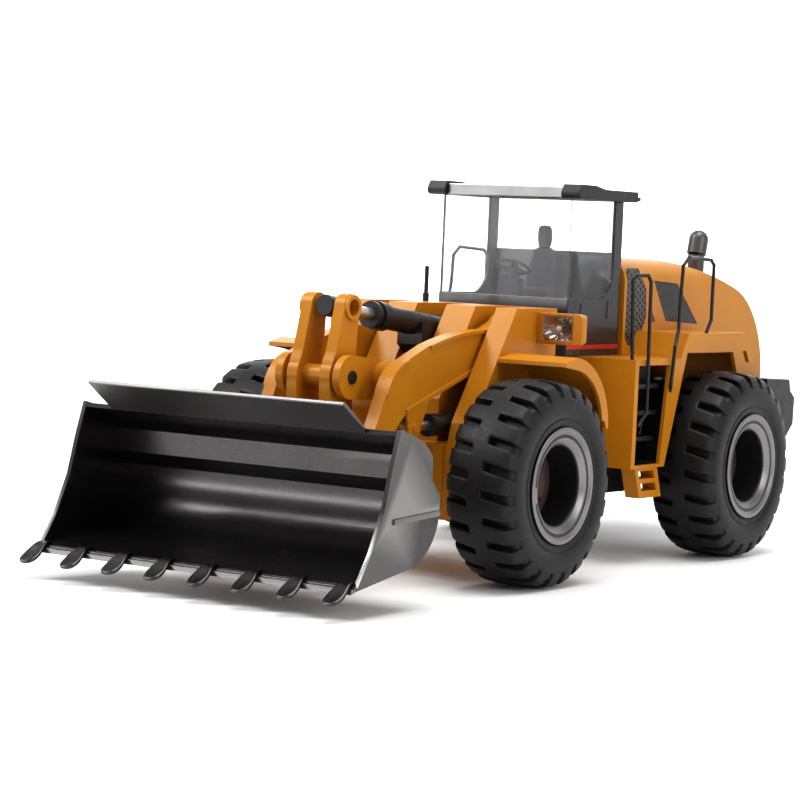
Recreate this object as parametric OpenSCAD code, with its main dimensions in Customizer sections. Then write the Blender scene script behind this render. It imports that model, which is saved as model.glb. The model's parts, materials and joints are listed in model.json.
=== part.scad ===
// Articulated toy front loader at 1:14 scale, sizes in millimetres.
// +Z is up, the bucket points to -Y and the machine's left side is +X.
// Every module below is drawn from the front axle: y = 0 there, z = 0 on the ground.

/* [Wheels] */
// Distance between the front and rear axles
wheelbase = 229; // [228:0.5:230]
// Outer radius of a tyre
tyre_r = 57.5; // [57:0.1:57.5]
// Distance from the centreline to the middle of a wheel
track_half = 88; // [87:0.5:89]
// Half of the tread's width
tread_half = 18.5; // [17.5:0.5:19]
// Radius of the rim's outer lip
rim_r = 32.4; // [31.5:0.1:32.4]
// Radius of the opening in the rim
rim_open_r = 22; // [21.5:0.1:23]
// Radius of an axle shaft
shaft_r = 4; // [3.5:0.1:4.5]

/* [Bucket] */
// Half of the bucket's width over its side plates
bucket_half = 105; // [100:0.5:106]
// Thickness of the bucket's plates
bucket_wall = 2.5; // [2:0.1:3]
// Number of teeth along the cutting edge
tooth_count = 8; // [4:1:8]

/* [Front frame] */
// Half of the width over the outer towers
tower_half = 58; // [57:0.5:59]
// Height of the top of the towers
tower_top = 152.5; // [151:0.5:154]
// Distance from the centreline to the middle of a lift arm
arm_x = 37; // [36.8:0.1:37.2]
// Thickness of a lift arm
arm_t = 8; // [7:0.5:8]

/* [Cab] */
// Half of the cab's width
cab_half = 46; // [44:0.5:47]
// Height of the cab roof's top
roof_top = 225.5; // [222:0.5:228]

/* [Rear body] */
// Half of the width over the rear fenders
fender_half = 85; // [84:0.5:86]
// Height of the walkway deck
deck_z = 123.5; // [123:0.5:124]
// Half of the engine hood's width
hood_half = 48; // [47.5:0.1:48]
// Half of the counterweight's width
weight_half = 72; // [68:1:74]

/* [Hidden] */
$fn = 48;
front_axle_y = -81;
rear_y = wheelbase;
hub_z = tyre_r;
running_gap = 0.06;
knuckle = 0.12;

// Pivots as [y, z]
arm_pivot = [45, 137];
lever_pivot = [-80, 113];
lever_top = [-72.5, 150.5];
link_pin = [-78, 58];
link_end = [-107, 56];
bucket_pivot = [-106, 38];
lift_base = [38, 88];
lift_eye = [-47, 86];
steer_y = 114.5;

// Pin radii
pivot_pin_r = 5;
tower_pin_r = 3;
lever_pin_r = 3;
bucket_pin_r = 2.5;
link_pin_r = 2;

tower_slot = 14;
inner_tower_in = 10;
inner_tower_out = 30;
outer_tower_in = inner_tower_out + tower_slot;

paint = "#d68c26";
graphite = "#4a4748";
rubber_black = "#2c2b2d";
trim_black = "#1b1a1b";
silver = "#a9a7a6";

// Points of an arc about c in the plane of an outline, from angle a to angle b in n steps
function arc(c, r, a, b, n) = [for (i = [0 : n]) c + r * [cos(a + (b - a) * i / n), sin(a + (b - a) * i / n)]];
// Unit vector of an angle
function dir(a) = [cos(a), sin(a)];

module machine() {
    translate([0, front_axle_y, 0])
        children();
}

module both_sides() {
    children();
    mirror([1, 0, 0])
        children();
}

// Turns a y-z drawing into a solid between two x planes
module plate(x0, x1) {
    translate([x0, 0, 0])
        rotate([90, 0, 90])
            linear_extrude(x1 - x0)
                children();
}

module box(low, high) {
    translate(low)
        cube(high - low);
}

module pin_x(r, x0, x1, p) {
    translate([x0, p[0], p[1]])
        rotate([0, 90, 0])
            cylinder(r = r, h = x1 - x0);
}

// Round bar between two [y, z] points in the plane x
module strut(x, p, q, r) {
    d = q - p;
    translate([x, p[0], p[1]])
        rotate([atan2(d[1], d[0]) - 90, 0, 0])
            cylinder(r = r, h = norm(d));
}

// Round bar through a list of 3-D points, with ball joints
module rail(points, r) {
    for (i = [0 : len(points) - 2]) {
        d = points[i + 1] - points[i];
        translate(points[i])
            rotate([0, acos(d[2] / norm(d)), atan2(d[1], d[0])])
                cylinder(r = r, h = norm(d), $fn = 16);
    }
    for (i = [1 : len(points) - 2])
        translate(points[i])
            sphere(r = r + knuckle, $fn = 16);
}

/* Rear frame */

switch_y = 288;
switch_travel = 5;
belly = [[-62, 130, 42], [62, 170, 80]];
belly_wall = 2.5;
rail_in = 24;
rail_out = 30;

module rear_chassis() {
    color(trim_black)
        machine()
            difference() {
                union() {
                    difference() {
                        box(belly[0], belly[1]);
                        box(belly[0] + [1, 1, -1] * belly_wall, belly[1] - [1, 1, 1] * belly_wall);
                    }
                    both_sides()
                        box([rail_in, 165, 80], [rail_out, 318, 98]);
                    box([-rail_in, 222, 84], [rail_in, 238, 96]);
                    // Plate with the power switch's slot
                    difference() {
                        box([-rail_in, 272, 80], [rail_in, 312, 82]);
                        box([-2.8, switch_y - 3.3, 79], [2.8, switch_y + 3.3 + switch_travel, 83]);
                    }
                    // Yoke plates above and below the steering tongue
                    for (z = [52, 79.5])
                        translate([0, 0, z]) {
                            translate([0, steer_y, 0])
                                cylinder(r = 12, h = 6);
                            box([-12, steer_y, 0], [12, 131, 6]);
                        }
                }
                translate([0, steer_y, 40])
                    cylinder(r = pivot_pin_r, h = 60);
            }
}

module rear_deck() {
    color(paint)
        machine() {
            box([-48, 120, deck_z - 2.5], [48, 168, deck_z]);
            box([-48, 120, 98.2], [48, 123, deck_z - 2.5]);
            both_sides()
                box([44.5, 123, 80], [47.5, 168, deck_z - 2.5]);
        }
}

fender_front = 120;
ledge_z = 138.8;

// Side outline of a rear fender, with the ladder's opening and the wheel arch
module fender_outline() {
    difference() {
        polygon([
            [fender_front, 58.5], [161, 58.5], [184.5, 127.3], [263, 127.3], [268, 120], [275, 120],
            [262, ledge_z], [185, ledge_z], [176, deck_z], [fender_front, deck_z]
        ]);
        polygon([[124.5, 60.5], [155, 60.5], [163, 120], [124.5, 120]]);
    }
}

module rear_fender() {
    color(paint)
        machine() {
            plate(fender_half - 2.5, fender_half)
                fender_outline();
            box([48, fender_front, deck_z - 2.5], [fender_half - 2.5, 176, deck_z]);
            box([48, fender_front, 58.5], [fender_half - 2.5, 122.5, deck_z - 2.5]);
            box([48.2, 185, ledge_z - 2.5], [fender_half - 2.5, 262, ledge_z]);
            plate(48.2, fender_half - 2.5)
                polygon([[176, deck_z - 2.5], [185, ledge_z - 2.5], [185, ledge_z], [176, deck_z]]);
        }
}

module ladders() {
    color(trim_black)
        machine()
            both_sides() {
                plate(64.2, 66.7)
                    polygon([[124, 60.5], [157, 60.5], [172, 110], [172, 120.5], [124, 120.5]]);
                for (z = [75.5, 91, 107])
                    box([66.7, 125, z - 1.5], [79, 157 + (z - 75.5) * 0.13, z + 1.5]);
                // Mudguard behind the steps
                plate(66.7, fender_half - 2.5)
                    polygon([[157.5, 61], [159.5, 61], [175, 110], [173, 110]]);
            }
}

module lower_steps() {
    color(paint)
        machine()
            both_sides()
                difference() {
                    plate(75, 84.5)
                        polygon([[126, 58.4], [153.5, 58.4], [160, 40.5], [133, 40.5]]);
                    plate(74, 85)
                        polygon([[130.5, 56.8], [149, 56.8], [150.7, 52.2], [132.2, 52.2]]);
                    plate(74, 85)
                        polygon([[134, 49.4], [152, 49.4], [153.7, 44.8], [135.7, 44.8]]);
                }
}

// Side outline of the hood, moved in by an inset for its hollow
module hood_side(inset) {
    polygon(concat(
        [[168 + inset, deck_z + 0.2 - inset], [168 + inset, 183 - inset]],
        arc([196, -220], 403.5 - inset, 92, 75.5, 8),
        arc([300, 108], 60 - inset, 76, 4, 10),
        [[360 - inset, 99 - inset], [330, 99 - inset], [318, deck_z + 0.2 - inset]]
    ));
}

// Cross outline of the hood, with round shoulders
module hood_cross(inset) {
    shoulder = 16;
    w = hood_half - inset;
    top = 184 - inset;
    translate([-w, 80])
        square([2 * w, top - shoulder - 80]);
    translate([-w + shoulder, 80])
        square([2 * (w - shoulder), top - 80]);
    for (s = [-1, 1])
        translate([s * (w - shoulder), top - shoulder])
            circle(r = shoulder);
}

module hood_block(inset) {
    intersection() {
        plate(-hood_half + inset, hood_half - inset)
            hood_side(inset);
        translate([0, 400, 0])
            rotate([90, 0, 0])
                linear_extrude(300)
                    hood_cross(inset);
    }
}

grille_depth = 0.8;

// Outlines of the three openings on each side of the hood
module grille_openings() {
    polygon([[171, 177], [184.5, 177], [195.5, 164.4], [197, 147], [187, 129], [175.5, 129.5], [171, 134]]);
    polygon([[205, 169.7], [236, 168], [265.5, 142.4], [222.4, 144.6]]);
    polygon([[201.5, 155], [209, 143.8], [202.4, 144.5]]);
}

module engine_hood() {
    color(paint)
        machine()
            difference() {
                hood_block(0);
                hood_block(2.5);
                both_sides()
                    plate(hood_half - grille_depth, hood_half + 1)
                        grille_openings();
                translate([18, 316, 150])
                    cylinder(r = 5.5, h = 40);
            }
}

module hood_grilles() {
    color(trim_black)
        machine()
            both_sides()
                plate(hood_half - grille_depth, hood_half - 0.1)
                    grille_openings();
}

module exhaust_pipe() {
    color("#5b5758")
        machine()
            difference() {
                union() {
                    translate([18, 316, 160])
                        cylinder(r = 5.5, h = 27);
                    translate([18, 316, 187])
                        rotate([-14, 0, 0])
                            cylinder(r = 6.5, h = 10);
                    translate([18, 316, 187])
                        rotate([-14, 0, 0])
                            translate([0, 0, 10])
                                sphere(r = 6.5);
                }
                translate([18, 330, 192])
                    rotate([60, 0, 0])
                        cylinder(r = 4, h = 14);
            }
}

module counterweight() {
    color(trim_black)
        machine()
            difference() {
                plate(-weight_half, weight_half)
                    polygon([
                        [318, 72], [352, 66], [364, 76.5], [364.5, 94], [358, 98.7], [318, 98.7]
                    ]);
                both_sides()
                    box([59.5, 362.5, 80.5], [71, 366, 92.5]);
            }
    color(trim_black)
        machine()
            both_sides()
                plate(hood_half + 0.2, weight_half)
                    polygon([[322, 98.7], [358, 98.7], [355.6, 106.5], [322, 107.5]]);
}

module rear_lamps() {
    color("#e9cf8f")
        machine()
            both_sides()
                box([59.5, 362.5, 80.5], [71, 366, 92.5]);
}

rail_r = 1.1;
rail_x = fender_half + 1.6;

module handrails() {
    color(trim_black)
        machine() {
            rail([
                [81, 122.5, deck_z], [81, 119, 171], [83, 120.5, 173.5], [rail_x - 1, 129, 173.5],
                [rail_x, 131, 170], [rail_x, 133, 92], [fender_half, 126, 84]
            ], rail_r);
            both_sides()
                rail([
                    [fender_half, 164, 104], [rail_x, 162, 108], [rail_x, 165, 131], [rail_x - 2, 172, 141],
                    [83.5, 175, 164], [83.5, 176, 180], [83.5, 183, 185.4], [83.5, 212, 184],
                    [83.5, 216, 181], [83.5, 216, 147], [83.5, 210, ledge_z]
                ], rail_r);
        }
}

/* Cab */

cab_front = 104;
cab_rear = 166;
sill_z = 158;
header_z = 217;
cab_wall = 2.5;

module cab_body() {
    color(graphite)
        machine() {
            // Lower tub with a floor
            difference() {
                box([-cab_half, cab_front, deck_z], [cab_half, cab_rear, sill_z]);
                box([-cab_half + cab_wall, cab_front + cab_wall, deck_z + 20],
                    [cab_half - cab_wall, cab_rear - cab_wall, sill_z + 1]);
                box([-cab_half + cab_wall, cab_front + cab_wall, deck_z - 1],
                    [cab_half - cab_wall, cab_rear - cab_wall, deck_z + 17]);
            }
            // Rear pillars, with the window's round lower corner
            both_sides()
                plate(cab_half - cab_wall, cab_half)
                    difference() {
                        translate([140, sill_z])
                            square([cab_rear - 140, header_z - sill_z]);
                        translate([139, sill_z + 16])
                            square([17, header_z]);
                        translate([140, sill_z + 16])
                            circle(r = 16);
                    }
            // Rear wall with its window
            difference() {
                box([-cab_half + cab_wall, cab_rear - cab_wall, sill_z], [cab_half - cab_wall, cab_rear, header_z]);
                box([-cab_half + cab_wall, cab_rear - 4, 186], [cab_half - cab_wall, cab_rear + 1, header_z + 1]);
            }
            // Box behind the seat
            box([-16, 156.5, sill_z - 14.5], [12, cab_rear - cab_wall, 184]);
        }
}

module cab_windows() {
    glass = 1.2;
    color("#dfe6ea", 0.35)
        machine()
            difference() {
                union() {
                    box([-cab_half + 0.6, cab_front + 0.4, sill_z], [cab_half - 0.6, 140, header_z]);
                    both_sides()
                        plate(cab_half - 0.6 - glass, cab_half - 0.6)
                            intersection() {
                                translate([139, sill_z])
                                    square([17, header_z - sill_z]);
                                union() {
                                    translate([139, sill_z + 16])
                                        square([17, header_z]);
                                    translate([140, sill_z + 16])
                                        circle(r = 16);
                                }
                            }
                }
                box([-cab_half + 0.6 + glass, cab_front + 0.4 + glass, sill_z - 1],
                    [cab_half - 0.6 - glass, 160, header_z + 1]);
            }
}

roof_half = 54;
pod_in = 41;

module cab_roof() {
    color(trim_black)
        machine() {
            difference() {
                box([-roof_half, 103.5, header_z], [roof_half, 169, roof_top - 2]);
                box([-roof_half + 3, 106.5, header_z - 1], [roof_half - 3, 166, roof_top - 4]);
            }
            // Light pods on the front corners
            both_sides()
                plate(pod_in, roof_half)
                    polygon(concat(
                        [[103.5, header_z], [101, header_z]],
                        arc([101, header_z + 3], 3, 250, 130, 4),
                        [[101, roof_top], [118, roof_top], [130, roof_top - 2], [103.5, roof_top - 2]]
                    ));
            both_sides()
                box([40, 169, header_z + 1], [52, 176, header_z + 3.5]);
        }
}

module roof_panel() {
    color(silver)
        machine()
            plate(-pod_in, pod_in)
                polygon([[103.5, header_z], [101.5, header_z + 0.5], [102, roof_top - 1.5], [103.5, roof_top - 1.5]]);
}

floor_z = deck_z + 20;

module seat() {
    color("#23222a")
        machine() {
            box([-9, 128, floor_z], [9, 146, floor_z + 11]);
            plate(-11, 11)
                polygon([[122, floor_z + 11], [150, floor_z + 11], [150, floor_z + 16], [146, floor_z + 19], [122, floor_z + 20]]);
            plate(-9, 9)
                polygon([[144, floor_z + 18], [150, floor_z + 16], [155, floor_z + 46], [149, floor_z + 47]]);
            plate(-4.5, 4.5)
                polygon([[149.5, floor_z + 46], [154.5, floor_z + 45.5], [156, floor_z + 57], [151, floor_z + 58]]);
        }
}

wheel_tilt = 25;
wheel_centre = [0, 119, 176];

module steering_console() {
    color("#2d2b30")
        machine() {
            plate(-9, 9)
                polygon([[107, floor_z], [114, floor_z], [113, 168], [107, 168]]);
            translate([0, 111, 166])
                rotate([-wheel_tilt, 0, 0])
                    cylinder(r = 2, h = 9);
            // Armrest boxes beside the seat
            both_sides()
                box([16, 128, floor_z], [22, 150, 170]);
        }
}

module steering_wheel() {
    color(trim_black)
        machine()
            translate([0, 111, 166])
                rotate([-wheel_tilt, 0, 0])
                    translate([0, 0, 9]) {
                        cylinder(r = 2.6, h = 2);
                        for (a = [90, 210, 330])
                            rotate([0, 0, a])
                                box([-1, 0, 0.2], [1, 9, 1.6]);
                        translate([0, 0, 0.9])
                            rotate_extrude()
                                translate([9.5, 0])
                                    circle(r = 1, $fn = 20);
                    }
}

/* Power and drive */

module battery() {
    color("#3b6ea5")
        machine()
            box([-50, 134, 44.7], [50, 166, 68]);
}

// Cover under the battery, with the heads of its four screws
module battery_cover() {
    color(trim_black)
        machine() {
            box([-59.5, 132.5, 42.2], [59.5, 167.5, 44.7]);
            for (x = [-54, 54], y = [137, 163])
                translate([x, y, 40.6])
                    cylinder(r = 2.4, h = 1.6);
        }
}

module circuit_board() {
    color("#2f6b3c")
        machine() {
            box([-40, 190, 98], [40, 246, 99.6]);
            box([-30, 200, 99.6], [-14, 212, 104]);
            box([5, 205, 99.6], [21, 225, 103]);
            both_sides()
                box([30, 232, 99.6], [37, 242, 108]);
        }
}

module drive_motor() {
    color("#8a8785")
        machine() {
            // Gearbox over the rear axle, and the motor in front of it
            difference() {
                box([-15, 211, 67], [15, 248, 84]);
                pin_x(drum_r, -16, 16, [rear_y, hub_z]);
            }
            translate([0, 214, 70])
                rotate([90, 0, 0])
                    cylinder(r = 9.5, h = 40);
        }
}

drum_r = 15;

// Axle housing with a round differential case and a bore for the two shafts
module axle_housing(y) {
    difference() {
        union() {
            pin_x(9, -60, 60, [y, hub_z]);
            both_sides()
                pin_x(14, 60, 63, [y, hub_z]);
            pin_x(drum_r, -13, 13, [y, hub_z]);
            both_sides()
                pin_x(drum_r - 3, 13, 16, [y, hub_z]);
        }
        pin_x(shaft_r + running_gap, -64, 64, [y, hub_z]);
        both_sides()
            pin_x(5.5, 18, 50, [y, hub_z]);
    }
}

module rear_axle_housing() {
    color(trim_black)
        machine() {
            axle_housing(rear_y);
            // Blocks that carry the axle under the chassis rails
            both_sides()
                difference() {
                    box([rail_in, rear_y - 9, hub_z], [rail_out, rear_y + 9, 80]);
                    pin_x(9, rail_in - 1, rail_out + 1, [rear_y, hub_z]);
                }
        }
}

module power_switch() {
    color("#b3262a")
        machine() {
            box([-2.5, switch_y - 3, 77.5], [2.5, switch_y + 3, 82.3]);
            box([-6, switch_y - 6, 82.3], [6, switch_y + 6, 84]);
        }
}

module pivot_pin() {
    color(silver)
        machine()
            translate([0, steer_y, 50]) {
                cylinder(r = pivot_pin_r, h = 37.5);
                translate([0, 0, -1])
                    cylinder(r = 7.5, h = 2.9);
            }
}

/* Front frame */

// Side outline of the towers: the front edge slopes down and forward
module tower_outline(foot) {
    polygon([
        [28, tower_top], [62, tower_top], [62, foot], [foot < 60 ? -21 : -6, foot],
        each (foot < 60 ? [[-20, 67], [-14, 88]] : [[-6, 100]]), [1, 111]
    ]);
}

module front_chassis() {
    color(paint)
        machine()
            difference() {
                union() {
                    both_sides() {
                        plate(outer_tower_in, tower_half)
                            tower_outline(34);
                        plate(inner_tower_in, inner_tower_out)
                            tower_outline(76);
                    }
                    // Rear cross wall, deck, floor and nose of the box under the arms
                    box([-tower_half, 60, 34], [tower_half, 72, tower_top]);
                    box([-outer_tower_in, -17, 73], [outer_tower_in, 60, 76]);
                    box([-outer_tower_in, -21, 34], [outer_tower_in, 60, 37]);
                    box([-outer_tower_in, -21, 37], [outer_tower_in, -17, 76]);
                    // Steering tongue
                    box([-12, 72, 59], [12, steer_y, 78.5]);
                    translate([0, steer_y, 59])
                        cylinder(r = 12, h = 19.5);
                }
                translate([0, steer_y, 50])
                    cylinder(r = pivot_pin_r + running_gap, h = 40);
                pin_x(tower_pin_r, -54, 54, arm_pivot);
                both_sides()
                    pin_x(tower_pin_r, 26, 54, lift_base);
                pin_x(9, -60, 60, [0, hub_z]);
            }
}

guard_r = 41;

module front_fender() {
    lip = 7;
    color(paint)
        machine() {
            plate(tower_half, 103)
                difference() {
                    polygon(concat(
                        [[9, 122], [9, 124.6]], arc([18, 86.5], guard_r, 86, 2, 12), [[59, 86.5]],
                        [[56.5, 86.5]], arc([18, 86.5], guard_r - 2.5, 2, 86, 12)
                    ));
                }
            plate(100.5, 103)
                polygon(concat(
                    [[9, 122], [9, 124.6]], arc([18, 86.5], guard_r - 2.4, 86, 2, 12), [[56.5, 86.5]],
                    [[54.5, 91]], arc([18, 86.5], guard_r - lip, 8, 82, 12)
                ));
        }
}

lamp_y = 52;
lamp_low = [58, 132.5];
lamp_high = [88, 150.5];

module headlight_housings() {
    color(paint)
        machine()
            both_sides()
                difference() {
                    box([tower_half, lamp_y - 2, lamp_low[1]], [lamp_high[0], lamp_y + 12, lamp_high[1]]);
                    box([lamp_low[0] + 3.5, lamp_y - 3, lamp_low[1] + 2.5], [lamp_high[0] - 7, lamp_y + 6, lamp_high[1] - 2]);
                }
}

module headlight_lenses() {
    color("#e8d8c8")
        machine()
            both_sides()
                box([lamp_low[0] + 3.5, lamp_y - 3, lamp_low[1] + 2.5], [lamp_high[0] - 7, lamp_y + 6, lamp_high[1] - 2]);
}

module antenna() {
    color(trim_black)
        machine() {
            translate([-30, 66, tower_top])
                cylinder(r = 1.9, h = 5);
            translate([-30, 66, tower_top + 5])
                cylinder(r = 1.3, h = 15);
            translate([-30, 66, tower_top + 20])
                sphere(r = 1.3);
        }
}

module front_axle_housing() {
    color(trim_black)
        machine()
            axle_housing(0);
}

module tower_pins() {
    color(silver)
        machine() {
            pin_x(tower_pin_r, -54, 54, arm_pivot);
            both_sides()
                pin_x(tower_pin_r, 26, 54, lift_base);
        }
}

/* Lift arms and tilt linkage */

module arm_outline() {
    difference() {
        union() {
            polygon(concat(
                [arm_pivot + 11 * dir(80), [25, 139.5]], arc([25, -76], 215.5, 90, 106, 6),
                arc([-50, 98], 26, 100, 165, 6), [[-82, 90], bucket_pivot + 7 * dir(155)],
                [bucket_pivot + 7 * dir(-30), [-64, 86], [-54, 94.6], [12, 115.8], arm_pivot + 11 * dir(-105)]
            ));
            translate(arm_pivot)
                circle(r = 11);
            translate(bucket_pivot)
                circle(r = 7);
        }
        translate(arm_pivot)
            circle(r = tower_pin_r + running_gap);
        translate(bucket_pivot)
            circle(r = bucket_pin_r + running_gap);
    }
}

module lift_arm() {
    color(paint)
        machine() {
            plate(arm_x - arm_t / 2, arm_x + arm_t / 2)
                arm_outline();
            // Raised lips along the upper and lower edges
            plate(arm_x + arm_t / 2, arm_x + arm_t / 2 + 1.2) {
                polygon(concat(arc([25, -76], 215.5, 90, 106, 6), arc([25, -76], 213.5, 106, 90, 6)));
                polygon(concat(arc([-50, 98], 26, 100, 165, 6), arc([-50, 98], 24, 165, 100, 6)));
                polygon([[12, 115.8], [-54, 94.6], [-56, 96.2], [11.5, 118]]);
            }
            // Lugs beside the lift rod's eye, with pin heads on their outer faces
            for (x = [arm_x - 4.9, arm_x + 3.1])
                plate(x, x + 1.8) {
                    translate(lift_eye)
                        circle(r = 6);
                    polygon([[-53, 86], [-41, 86], [-34, 101], [-55, 95]]);
                }
            pin_x(2.5, arm_x + 4.9, arm_x + 5.8, lift_eye);
        }
}

lug_in = 17;
lug_out = 21.5;

module cross_tube() {
    color(paint)
        machine()
            difference() {
                union() {
                    pin_x(11, -arm_x + arm_t / 2, arm_x - arm_t / 2, [-50, 111]);
                    both_sides()
                        plate(lug_in, lug_out) {
                            translate(lever_pivot)
                                circle(r = 12);
                            polygon([[-80, 101], [-50, 100], [-50, 122], [-80, 125]]);
                        }
                }
                pin_x(lever_pin_r, -30, 30, lever_pivot);
            }
}

module lever_pin() {
    color(trim_black)
        machine() {
            pin_x(lever_pin_r, -lug_out, lug_out, lever_pivot);
            both_sides()
                pin_x(3.8, lug_out, lug_out + 1, lever_pivot);
        }
}

lever_in = 7.5;
lever_out = 14.5;

module lever_outline() {
    union() {
        polygon(concat(
            [lever_top + 7.5 * dir(150)], arc([-54, 108], 36.8, 150, 186, 6),
            [link_pin + 6.5 * dir(190), link_pin + 6.5 * dir(-10), [-69, 100], [-67, 125]],
            [lever_top + 7.5 * dir(-20)]
        ));
        translate(lever_top)
            circle(r = 7.5);
        translate(lever_pivot)
            circle(r = 11);
        translate(link_pin)
            circle(r = 6.5);
    }
}

module levers() {
    color(paint)
        machine()
            difference() {
                union() {
                    both_sides() {
                        plate(lever_in, lever_out)
                            lever_outline();
                        pin_x(7, lever_out, lever_out + 1.6, lever_top);
                        pin_x(8, lever_out, lug_in - 0.3, lever_pivot);
                    }
                    pin_x(6, -lever_in, lever_in, lever_pivot);
                }
                pin_x(lever_pin_r + running_gap, -20, 20, lever_pivot);
                both_sides()
                    pin_x(4.6, lever_in + 2.5, 20, lever_top);
            }
    color(silver)
        machine()
            pin_x(link_pin_r, -lever_in, lever_in, link_pin);
}

link_half = 6.5;

module tilt_link() {
    color(paint)
        machine()
            difference() {
                union() {
                    plate(-link_half, link_half) {
                        translate(link_pin)
                            circle(r = 5.5);
                        translate(link_end)
                            circle(r = 4);
                        polygon([link_pin + [0, 4.5], link_end + [0, 3.6], link_end - [0, 3.6], link_pin - [0, 4.5]]);
                    }
                }
                pin_x(link_pin_r + running_gap, -8, 8, link_pin);
            }
}

tilt_angle = atan2(lever_top[1] - arm_pivot[1], lever_top[0] - arm_pivot[0]);
tilt_axis = dir(tilt_angle);
tilt_barrel_r = 6.75;
tilt_rod_r = 3.6;
tilt_gland_at = 79;

module tilt_barrel() {
    color(trim_black)
        machine()
            difference() {
                union() {
                    strut(0, arm_pivot, arm_pivot + tilt_gland_at * tilt_axis, tilt_barrel_r);
                    strut(0, arm_pivot + (tilt_gland_at - 11) * tilt_axis, arm_pivot + (tilt_gland_at - 4) * tilt_axis, 8.2);
                    strut(0, arm_pivot + (tilt_gland_at - 1.5) * tilt_axis, arm_pivot + (tilt_gland_at + 1.5) * tilt_axis, 7.6);
                    pin_x(8.5, -8.5, 8.5, arm_pivot);
                    // Case of the screw drive under the barrel
                    plate(-8.5, 8.5)
                        polygon([[36, 140], [36, 126], [12, 124], [6, 129], [6, 142]]);
                }
                pin_x(tower_pin_r + running_gap, -10, 10, arm_pivot);
                strut(0, arm_pivot + 16 * tilt_axis, arm_pivot + 90 * tilt_axis, tilt_rod_r + running_gap);
            }
}

module tilt_rod() {
    color(silver)
        machine() {
            strut(0, arm_pivot + 30 * tilt_axis, lever_top - 7 * tilt_axis, tilt_rod_r);
            strut(0, lever_top - 8 * tilt_axis, lever_top + 6 * tilt_axis, 6);
        }
}

lift_axis = (lift_eye - lift_base) / norm(lift_eye - lift_base);
lift_barrel_r = 5.6;
lift_rod_r = 2.8;
lift_barrel_len = 66;

module lift_barrels() {
    color(trim_black)
        machine()
            both_sides()
                difference() {
                    union() {
                        strut(arm_x, lift_base, lift_base + lift_barrel_len * lift_axis, lift_barrel_r);
                        strut(arm_x, lift_base + (lift_barrel_len - 7) * lift_axis,
                              lift_base + lift_barrel_len * lift_axis, lift_barrel_r + 0.8);
                        pin_x(6, arm_x - 6, arm_x + 6, lift_base);
                    }
                    pin_x(tower_pin_r + running_gap, arm_x - 7, arm_x + 7, lift_base);
                    strut(arm_x, lift_base + 4.5 * lift_axis, lift_base + 80 * lift_axis, lift_rod_r + running_gap);
                }
}

module lift_rods() {
    color(silver)
        machine()
            both_sides() {
                strut(arm_x, lift_eye - (norm(lift_eye - lift_base) - 6) * lift_axis, lift_eye - 3 * lift_axis, lift_rod_r);
                difference() {
                    pin_x(5.2, arm_x - 2.2, arm_x + 2.2, lift_eye);
                    pin_x(2.5, arm_x - 3, arm_x + 3, lift_eye);
                }
            }
}

/* Bucket */

edge_p = [-187, 15];
bowl_c = [-146, 53];
bowl_r = 31;

// Outline of the curved shell, from the floor's front edge up the back wall
module shell_outline() {
    w = bucket_wall;
    polygon(concat(
        [edge_p], arc(bowl_c, bowl_r, -80, 10, 16),
        [[-123, 66.5], [-123.5, 79], [-131.5, 85.5], [-153.5, 92.7], [-154, 90.4]],
        [[-133, 83.8], [-126, 78], [-125.6, 65.5]],
        arc(bowl_c, bowl_r - w, 10, -80, 16), [[-186.5, 17.6]]
    ));
}

// Outline of a side plate, with a slightly hollow front edge
module side_outline() {
    polygon(concat(
        [edge_p], arc(bowl_c, bowl_r, -80, 10, 16),
        [[-123, 66.5], [-123.5, 79], [-131.5, 86.5], [-142, 90.5], [-153.3, 93.5], [-159, 76], [-165, 54], [-175, 33]]
    ));
}

hinge_out = arm_x + arm_t / 2 + 0.5;
hinge_in = arm_x - arm_t / 2 - 0.5;
cheek_t = 2.5;

// Cheek that carries the arm's pin behind the shell
module hinge_cheek() {
    union() {
        translate(bucket_pivot)
            circle(r = 6.5);
        polygon(concat([bucket_pivot + 6.5 * dir(-90)], arc(bowl_c, bowl_r - 1.3, -46, -6, 5), [bucket_pivot + 6.5 * dir(80)]));
    }
}

module bucket_shell() {
    color(graphite)
        machine()
            difference() {
                union() {
                    plate(-bucket_half + bucket_wall, bucket_half - bucket_wall)
                        shell_outline();
                    both_sides() {
                        plate(bucket_half - bucket_wall, bucket_half)
                            side_outline();
                        plate(bucket_half, bucket_half + 1)
                            polygon([[-157, 46], [-116, 48.2], [-116, 51], [-157, 48.8]]);
                        plate(hinge_out, hinge_out + cheek_t)
                            hinge_cheek();
                        plate(hinge_in - cheek_t, hinge_in)
                            hinge_cheek();
                        // Cheeks beside the tilt link, with a stiffening rib
                        plate(link_half + 1, link_half + 1 + cheek_t) {
                            translate(link_end)
                                circle(r = 6);
                            polygon(concat(arc(bowl_c, bowl_r - 1.3, -14, 9, 4), [[-124.5, 67], [-104.5, 61.5], [-104, 50.5]]));
                        }
                    }
                }
                both_sides()
                    pin_x(bucket_pin_r, hinge_in - 5, hinge_out + 5, bucket_pivot);
            }
}

guard_half = 84;

module spill_guard() {
    color(graphite)
        machine()
            plate(-guard_half, guard_half)
                polygon([[-153.5, 92.7], [-173.8, 107], [-174.9, 105.2], [-154, 90.4]]);
}

tooth_w = 7.5;

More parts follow.
